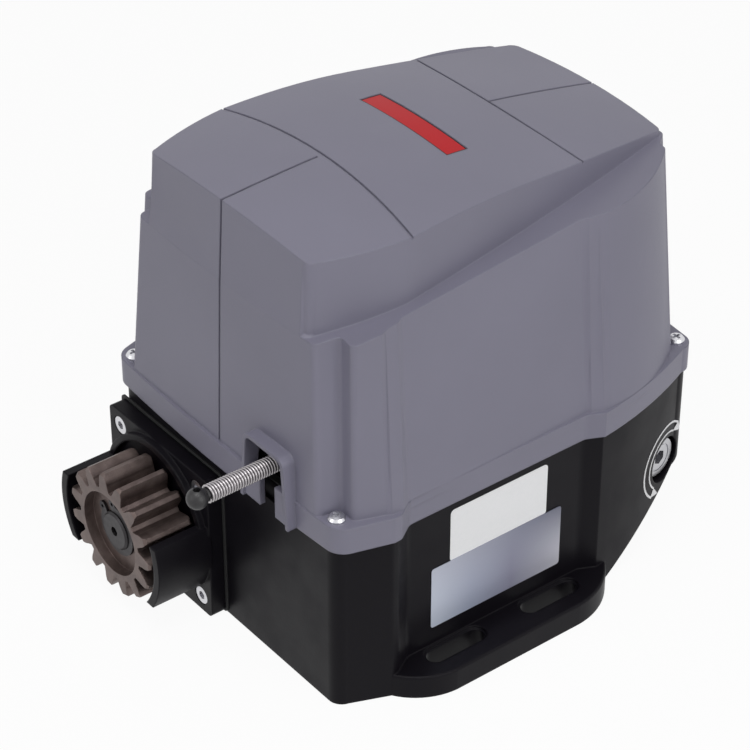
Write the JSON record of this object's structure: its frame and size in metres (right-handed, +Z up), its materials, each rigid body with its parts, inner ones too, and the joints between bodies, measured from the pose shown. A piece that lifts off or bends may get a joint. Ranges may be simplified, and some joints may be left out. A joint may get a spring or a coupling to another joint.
{
  "type": "sliding gate motor",
  "caption": "Sliding gate gearmotor: black cast housing with slotted feet, rack pinion, spring limit arm, key release and grey moulded cover.",
  "frame": {"origin": "centre of the four anchor slots, on the housing's underside", "axes": "-Y towards the pinion at the front, +X towards the release side, +Z up"},
  "size_m": [0.219, 0.2782, 0.2369],
  "materials": {
    "cover_plastic": "fine moulded grain",
    "black_casting": "satin black paint",
    "seal_rubber": "matte",
    "zinc_steel": "bright zinc",
    "black_steel": "black oxide",
    "sintered_steel": "sintered, dull",
    "ground_steel": "ground",
    "spring_steel": "bright wire",
    "bronze": "cast bronze",
    "bearing_steel": "polished",
    "aluminium_casting": "as cast",
    "lamination": "stacked sheets",
    "copper": "enamelled wire",
    "black_plastic": "moulded",
    "red_plastic": "moulded",
    "board_green": "solder resist",
    "terminal_green": "moulded",
    "relay_blue": "moulded",
    "white_plastic": "moulded",
    "galvanised_sheet": "sheet"
  },
  "bodies": {
    "housing": {"base_housing": "black_casting", "front_flange": "black_casting", "flange_gasket": "seal_rubber", "flange_screws": "zinc_steel", "output_front_bearing": "bearing_steel", "output_oil_seal": "seal_rubber", "output_rear_bearing": "bearing_steel", "worm_bearing": "bearing_steel", "motor_lower_bell": "aluminium_casting", "motor_lower_bearing": "bearing_steel", "stator_core": "lamination", "stator_winding": "copper", "motor_upper_bell": "aluminium_casting", "motor_upper_bearing": "bearing_steel", "motor_bolts": "zinc_steel", "limit_base": "black_plastic", "limit_pivot_pin": "zinc_steel", "microswitches": "black_plastic", "limit_screws": "zinc_steel", "board_bracket": "galvanised_sheet", "control_board": "board_green", "terminal_blocks": "terminal_green", "relays": "relay_blue", "fuse_holder": "white_plastic", "transformer_core": "lamination", "transformer_coil": "white_plastic", "run_capacitor": "white_plastic", "capacitor_clamp": "galvanised_sheet", "board_screws": "zinc_steel", "cable_grommet": "seal_rubber", "cover_gasket": "seal_rubber", "cover_screws": "zinc_steel", "cover": "cover_plastic"},
    "motor_rotor": {"worm_shaft": "ground_steel", "rotor_core": "lamination"},
    "output": {"output_shaft": "black_steel", "pinion_key": "ground_steel", "pinion_circlip": "black_steel", "drive_pinion": "sintered_steel"},
    "wheel": {"worm_wheel": "bronze"},
    "collar": {"clutch_collar": "sintered_steel"},
    "release": {"release_spindle": "ground_steel", "release_oring": "seal_rubber"},
    "fork": {"release_rod": "ground_steel"},
    "limit_arm": {"limit_lever": "black_plastic", "limit_spring": "spring_steel", "spring_tip": "black_plastic"},
    "plunger_l": {"plunger_left": "red_plastic"},
    "plunger_r": {"plunger_right": "red_plastic"}
  },
  "joints": [
    {"name": "motor_spin", "type": "hinge", "parent": "housing", "child": "motor_rotor", "pos_m": [0, -0.0175, 0.12], "axis": [0, 0, 1], "continuous": true},
    {"name": "output_spin", "type": "hinge", "parent": "housing", "child": "output", "pos_m": [-0.044, -0.0915, 0.041], "axis": [0, 1, 0], "continuous": true},
    {"name": "wheel_spin", "type": "hinge", "parent": "housing", "child": "wheel", "pos_m": [-0.044, -0.0175, 0.041], "axis": [0, 1, 0], "continuous": true},
    {"name": "release_turn", "type": "hinge", "parent": "housing", "child": "release", "pos_m": [0.0795, 0.116, 0.045], "axis": [0.9781, 0.2079, 0], "range_deg": [0, 150]},
    {"name": "fork_slide", "type": "slide", "parent": "housing", "child": "fork", "axis": [0, 1, 0], "range_m": [0, 0.006]},
    {"name": "collar_slide", "type": "slide", "parent": "output", "child": "collar", "axis": [0, 1, 0], "range_m": [0, 0.006]},
    {"name": "limit_swing", "type": "hinge", "parent": "housing", "child": "limit_arm", "pos_m": [0.0415, -0.0765, 0.117], "axis": [0, 0, 1], "range_deg": [-20, 20], "stiffness_Nm_per_rad": 0.5},
    {"name": "plunger_left_slide", "type": "slide", "parent": "housing", "child": "plunger_l", "axis": [-1, 0, 0], "range_m": [0, 0.001], "stiffness_N_per_m": 200},
    {"name": "plunger_right_slide", "type": "slide", "parent": "housing", "child": "plunger_r", "axis": [1, 0, 0], "range_m": [0, 0.001], "stiffness_N_per_m": 200}
  ],
  "couplings": [
    {"joint": "output_spin", "follows": "motor_spin", "ratio": 0.03125},
    {"joint": "wheel_spin", "follows": "motor_spin", "ratio": 0.03125},
    {"joint": "release_turn", "follows": "fork_slide", "rad_per_m": 436.33},
    {"joint": "collar_slide", "follows": "fork_slide", "ratio": 1}
  ]
}
